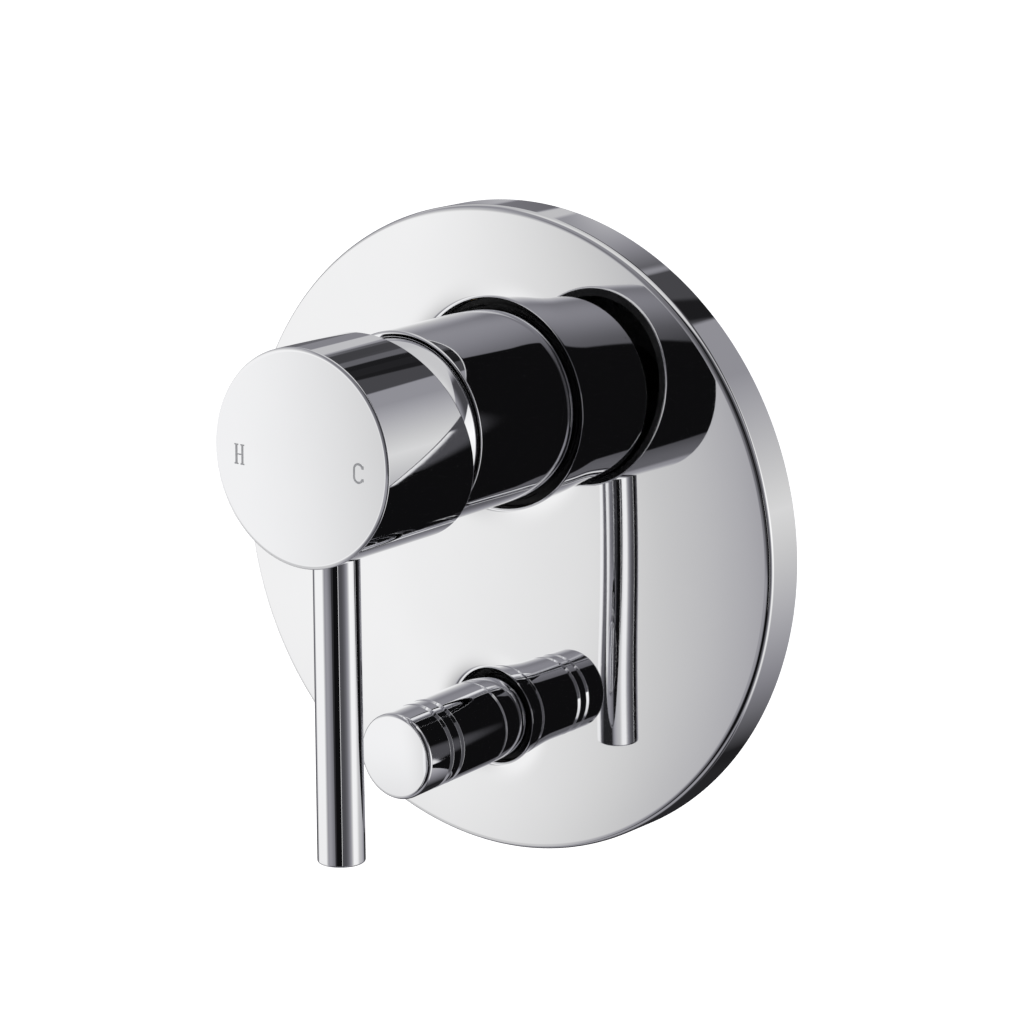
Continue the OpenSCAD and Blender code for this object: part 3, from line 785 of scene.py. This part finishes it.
def pin_mesh():
    S, seg = Surf(), 160
    top = MIX_Z
    # along the pin: "out" here is the distance down from the knob's axis
    ln = MIX_Z - BOT
    prof = path([(0, 13.2), (3.4, 13.2), (3.95, 13.8), (3.95, 20.5), (PT, 20.5), (PT, 24), (PL, ln, 0.5), (0, ln)], False)
    # here the solid lies on the left when the radius falls at the far end, so runs are used as they come
    sw, cw = math.sin(SWING), math.cos(SWING)
    for run in prof:
        P, N = [], []
        for r, d, nr, nd in run:
            P.append([(max(r, 0) * turn(k, seg)[0] * cw + (d - 30) * sw, -67.9 + max(r, 0) * turn(k, seg)[1],
                       top - d * cw + max(r, 0) * turn(k, seg)[0] * sw) for k in range(seg + 1)])
            N.append([(nr * turn(k, seg)[0] * cw + nd * sw, nr * turn(k, seg)[1], nr * turn(k, seg)[0] * sw - nd * cw) for k in range(seg + 1)])
        S.grid(P, N)
    return S.build("lever_bar", MIRROR_KNOB)


stand_in(pin_mesh(), "handle", "chrome_polished", "lever_pin")

# ---------------------------------------------------------------- diverter knob and its neck
DK, DF, EDGE_R, FACE_D = 9.95, 47.8, 1.0, 200.0
fr = DK - EDGE_R                                # the softly domed face ends in a rounded edge
tip = math.asin(fr / (FACE_D - EDGE_R))
edge_o = DF - FACE_D + (FACE_D - EDGE_R) * math.cos(tip)
corners = [(0, 39.3), (3.02, 39.3), (3.02, 16.5), (6.2, 16.5), (6.2, 6), (8.05, 6, 0.2), (8.05, 19.3), (DK - 0.4, 19.3, 0.12), (DK, 19.7, 0.15)]
for g in (35.5, 39.4):
    corners += [(DK, g - 0.608, 0.14), (DK - 0.55, g, 0.12), (DK, g + 0.608, 0.14)]
corners += [(DK, edge_o)]
runs = path(corners, False) + [curve(fr, edge_o, EDGE_R, 0, 90 - math.degrees(tip), 14)]
r_end, o_end = fr + EDGE_R * math.sin(tip), edge_o + EDGE_R * math.cos(tip)
runs += [[(r_end * (1 - k / 6), DF - FACE_D + math.sqrt(FACE_D ** 2 - (r_end * (1 - k / 6)) ** 2), r_end * (1 - k / 6) / FACE_D, 1) for k in range(7)]]
runs[-1][0] = (r_end, o_end, r_end / FACE_D, 1)
S = lathe(Surf(), runs, DIV_Z, 240, droop(HANG_L, 46.4, 8.2, DK))
stand_in(S.build("diverter_grip", MIRROR_KNOB), "diverter", "chrome_polished", "diverter_knob")

NR, NB = 9.85, 0.2
runs = path([(NR, 16.5), (NR, 19.05, 0.3), (8.2, 19.05), (8.2, 1.6), (NR, 1.6), (NR, 9)], False)
runs += [[(NR, 9, 0, -1), (NR + NB, 9.4, 0, -1)], [(NR + NB, 9.4, 1, 0), (NR + NB, 11.6, 1, 0)], flared(NR, NB, 16.5, 11.6)]
S = lathe(Surf(), runs, DIV_Z, 240, droop(HANG_L, 46.4, 8.2, NR))
stand_in(S.build("diverter_neck", MIRROR_KNOB), "valve", "chrome_polished", "diverter_sleeve")


# ---------------------------------------------------------------- diverter's return spring
def spring_mesh(radius, wire, out0, out1, active):
    """Coil of round wire with closed, flattened ends."""
    S, sides, per = Surf(), 12, 28
    total = active + 2.0
    n = int(total * per)
    pitch = (out1 - out0 - 4 * wire) / active

    def at(k):
        t = total * k / n
        out = out0 + wire + 2 * wire * min(t, 1.0) + pitch * min(max(t - 1.0, 0.0), active) + 2 * wire * max(t - 1.0 - active, 0.0)
        a = 2 * math.pi * t
        return Vector((radius * math.cos(a), -min(out, out1 - wire), DIV_Z + radius * math.sin(a)))

    P, N = [], []
    for k in range(n + 1):
        a = 2 * math.pi * total * k / n
        along = (at(min(k + 1, n)) - at(max(k - 1, 0))).normalized()
        side = Vector((math.cos(a), 0, math.sin(a)))
        over = along.cross(side).normalized()
        row, nrow = [], []
        for j in range(sides + 1):
            c, s = turn(j, sides)
            d = side * c + over * s
            row.append(tuple(at(k) + d * wire))
            nrow.append(d)
        P.append(row), N.append(nrow)
    S.grid(P, N)
    for row, k, sign in ((P[0], 0, -1), (P[-1], n, 1)):
        flat = (at(min(k + 1, n)) - at(max(k - 1, 0))).normalized() * sign
        for j in range(sides):
            S.face([tuple(at(k)), row[j], row[j + 1]], [flat] * 3)
    return S.build("return_spring", MATS["steel_bright"])


spring = stand_in(spring_mesh(4.4, 0.38, -7.9, 3.9, 4.2), "valve", "steel_bright", "diverter_spring")
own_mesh(spring)

# ================================================================ camera
cam_data = bpy.data.cameras.new("camera")
cam = bpy.data.objects.new("camera", cam_data)
scene.collection.objects.link(cam)
right = Vector((0.79824914, 0.60225661, 0.00923485))
up = Vector((-0.14726058, 0.18027108, 0.97253106))
fwd = Vector((-0.58404849, 0.77768201, -0.23258989))
rot = Matrix((right, up, -fwd)).transposed().to_4x4()
cam.matrix_world = Matrix.Translation(Vector((0.51468, -0.69008, 0.20835))) @ rot
cam_data.sensor_width = 36.0
cam_data.lens = 3834.0 / 1024.0 * 36.0
cam_data.clip_start, cam_data.clip_end = 0.02, 200.0
scene.camera = cam

# ================================================================ studio
# Soft boxes and flags far around the object. az = angle from straight out of the wall, + to the right; el = height.
class Num:
    """A number in a node tree, with arithmetic."""

    def __init__(self, nt, sock):
        self.nt, self.sock = nt, sock

    def op(self, kind, *args):
        n = self.nt.nodes.new("ShaderNodeMath")
        n.operation = kind
        for i, a in enumerate((self, *args)):
            if isinstance(a, Num):
                self.nt.links.new(a.sock, n.inputs[i])
            else:
                n.inputs[i].default_value = a
        return Num(self.nt, n.outputs[0])

    def __add__(self, o): return self.op("ADD", o)
    def __sub__(self, o): return self.op("SUBTRACT", o)
    def __mul__(self, o): return self.op("MULTIPLY", o)
    def __truediv__(self, o): return self.op("DIVIDE", o)
    def flip(self): return (self * -1.0) + 1.0
    def abs(self): return self.op("ABSOLUTE")

    def step(self, a, b):
        """0 below a, 1 above b, smooth between; a and b may be Nums."""
        n = self.nt.nodes.new("ShaderNodeMapRange")
        n.interpolation_type = "SMOOTHSTEP"
        for key, v in (("Value", self), ("From Min", a), ("From Max", b)):
            if isinstance(v, Num):
                self.nt.links.new(v.sock, n.inputs[key])
            else:
                n.inputs[key].default_value = v
        return Num(self.nt, n.outputs[0])

    def mix(self, other, mask):
        return self * mask.flip() + (other * mask if isinstance(other, Num) else mask * other)

    def band(self, a, b, soft):
        lo = self.step(a - soft, a + soft)
        hi = self.step(b - soft, b + soft)
        return lo * hi.flip()


DEG = 180 / math.pi


def studio_light(X, Y, Z):
    """Brightness of the studio in the direction (X, Y, Z)."""
    az = X.op("ARCTAN2", Y * -1.0) * DEG
    el = Z.op("ARCSINE") * DEG
    psi_signed = Z.op("ARCTAN2", X) * DEG
    psi = psi_signed.op("ADD", 360.0).op("MODULO", 360.0)
    pol = Y.op("ARCCOSINE") * DEG                      # from straight behind the wall

    # front: a broad window at the left, fading over a grey room
    reach = (az.op("MAXIMUM", -52.0) + 52.0) * Z.op("ARCSINE").op("COSINE")
    below = (el * -1.0 - 12.0).op("MAXIMUM", 0.0) * 0.45
    above = (el + 4.0).op("MAXIMUM", 0.0).op("SQRT") * 4.5
    rise = below + above
    away = (reach * reach + rise * rise).op("SQRT")
    front = away.step(35, 64).flip() * 0.17 + away.step(22, 31).flip() * 0.31 + away.step(14, 24).flip() * 0.44 + 0.03
    front = front + el.step(15, 35) * 0.1
    front = front * ((el * -1.0).step(15, 32) * -0.35 + 1.0)
    # a long bench under it
    front = front + el.band(-27, -13.2, 1.5) * az.step(-26, -18) * az.step(9, 13).flip() * 0.15
    # a large black flag right of the middle, with the light wall beyond it
    flag_edge = (el.op("MAXIMUM", 0.0) * el * -0.008) + ((el.op("MINIMUM", 0.0) * el) * -0.02) + 24.0
    front = front.mix(0.045, az.step(4, 6.5) * el.band(-12, 12, 1.5))
    low_flag = (el * -1.0).step(15, 19) * 10.0
    beyond = (az - low_flag).step(42.5, 44.5) * 0.075 + az.step(58, 82) * 0.09 + az.step(72, 98) * 0.25
    beyond = beyond + az.step(98, 102) * 0.45 + az.step(108, 116) * 0.06 + 0.005
    front = front.mix(beyond, (az - flag_edge).step(-0.7, 0.7))
    # a thin upright light tube at the flag's far side
    tube = az - (el * el * -0.0085 + 45.8)
    front = front.mix(0.85, tube.band(0.1, 2.0, 0.2) * el.band(-20.5, 6, 1.0))
    front = front.mix(0.72, el.step(52, 64))
    front = front.mix(0.32, el.op("MULTIPLY", -1.0).step(50, 64))

    # behind: light wall at the right, a dark ceiling with a bright strip, dark below left
    off = pol - 35.0
    swell = (psi * 0.9).op("SINE") * 1.3 + (pol * 2.3).op("SINE") * 0.8
    up_side = (psi_signed.abs() * -0.0080 + 0.72).op("MAXIMUM", 0.31)
    low_side = (psi_signed.abs() * -0.0074 + 0.73).op("MAXIMUM", 0.015)
    back = low_side.mix(up_side, Z.step(-0.01, 0.01))
    back = back + pol.step(44, 62) * psi_signed.abs().step(40, 75).flip() * 0.34
    back = back.mix((psi - 100.0) * 0.0125 + 0.09, psi.band(102, 150, 1.5) * pol.step(36.3, 37.2).flip())
    ceiling_end = pol.step(36, 39) * 12.0 + 101.0
    back = back.mix(0.066, (psi - off * -1.4).step(73.5, 75.5) * (psi + swell - ceiling_end).step(-1.5, 1.5).flip())
    back = back.mix(0.013, psi.step(off * 2.0 + 73.0, off * 2.0 + 75.0) * psi.step(off * 4.6 + 80.5, off * 4.6 + 83.0).flip())
    back = back.mix(0.018, (psi + swell).band(88, 98, 1.5) * pol.step(37, 40))
    back = back.mix(0.13, (psi + swell).band(105, 130, 2.0) * pol.step(37.5, 40))
    back = back.mix(0.055, (psi + swell).band(113, 128, 2.0) * pol.step(37.0, 40.5))
    back = back.mix(0.55, psi.step(off * -2.4 + 146.4, off * -2.4 + 149.6) * psi.step(150.0, 152.0).flip())
    back = back.mix(pol.step(35, 40) * 0.16 + 0.09, psi.band(151, 169, 1.6))
    back = back.mix(pol.step(37.5, 39.5) * -0.36 + 0.5, psi.band(170, 200, 2.5))
    back = back.mix(0.02, psi.band(203, 256, 4.0))
    back = back.mix(0.03, el.op("MULTIPLY", -1.0).step(46, 56))
    back = back.mix(0.6, el.step(50, 62))
    return front.mix(back, Y.step(-0.05, 0.3)).op("MAXIMUM", 0.003)


world = bpy.data.worlds.new("studio")
scene.world = world
world.use_nodes = True
world.cycles.sampling_method = "NONE"
wt = world.node_tree
wt.nodes.clear()
w_out = wt.nodes.new("ShaderNodeOutputWorld")
tc = wt.nodes.new("ShaderNodeTexCoord")
sep = wt.nodes.new("ShaderNodeSeparateXYZ")
wt.links.new(tc.outputs["Generated"], sep.inputs[0])
light = studio_light(*(Num(wt, sep.outputs[i]) for i in range(3)))
cool = light.step(0.2, 0.7).flip()
rgb = wt.nodes.new("ShaderNodeCombineXYZ")
wt.links.new((light * (cool * -0.04 + 1.0)).sock, rgb.inputs[0])
wt.links.new((light * (cool * -0.05 + 1.0)).sock, rgb.inputs[1])
wt.links.new((light * (cool * 0.05 + 1.0)).sock, rgb.inputs[2])
room = wt.nodes.new("ShaderNodeBackground")
wt.links.new(rgb.outputs[0], room.inputs[0])
pale = wt.nodes.new("ShaderNodeBackground")
pale.inputs[0].default_value = (1, 1, 1, 1)
pale.inputs[1].default_value = 1.0
lp = wt.nodes.new("ShaderNodeLightPath")
pick = wt.nodes.new("ShaderNodeMixShader")
wt.links.new(lp.outputs["Is Camera Ray"], pick.inputs[0])
wt.links.new(room.outputs[0], pick.inputs[1])
wt.links.new(pale.outputs[0], pick.inputs[2])
wt.links.new(pick.outputs[0], w_out.inputs[0])

# pale floor, far below the wall fitting
fm, fnt, fb = new_material("floor_pale")
fb.inputs["Roughness"].default_value = 0.9
fv = coords(fnt)
fnt.links.new(ramp(fnt, noise(fnt, fv, 3, 3), [(0.3, (0.93, 0.93, 0.935)), (0.7, (0.96, 0.96, 0.96))]), fb.inputs["Base Color"])
fb.inputs["Emission Color"].default_value = (1, 1, 1, 1)
fb.inputs["Emission Strength"].default_value = 0.85
fme = bpy.data.meshes.new("floor")
fme.from_pydata([(-40, -40, -1.4), (40, -40, -1.4), (40, 40, -1.4), (-40, 40, -1.4)], [], [(0, 1, 2, 3)])
fme.materials.append(fm)
floor = bpy.data.objects.new("floor", fme)
scene.collection.objects.link(floor)
floor.visible_glossy = False
floor.visible_diffuse = False
floor.visible_shadow = False

scene.view_settings.view_transform = "Standard"
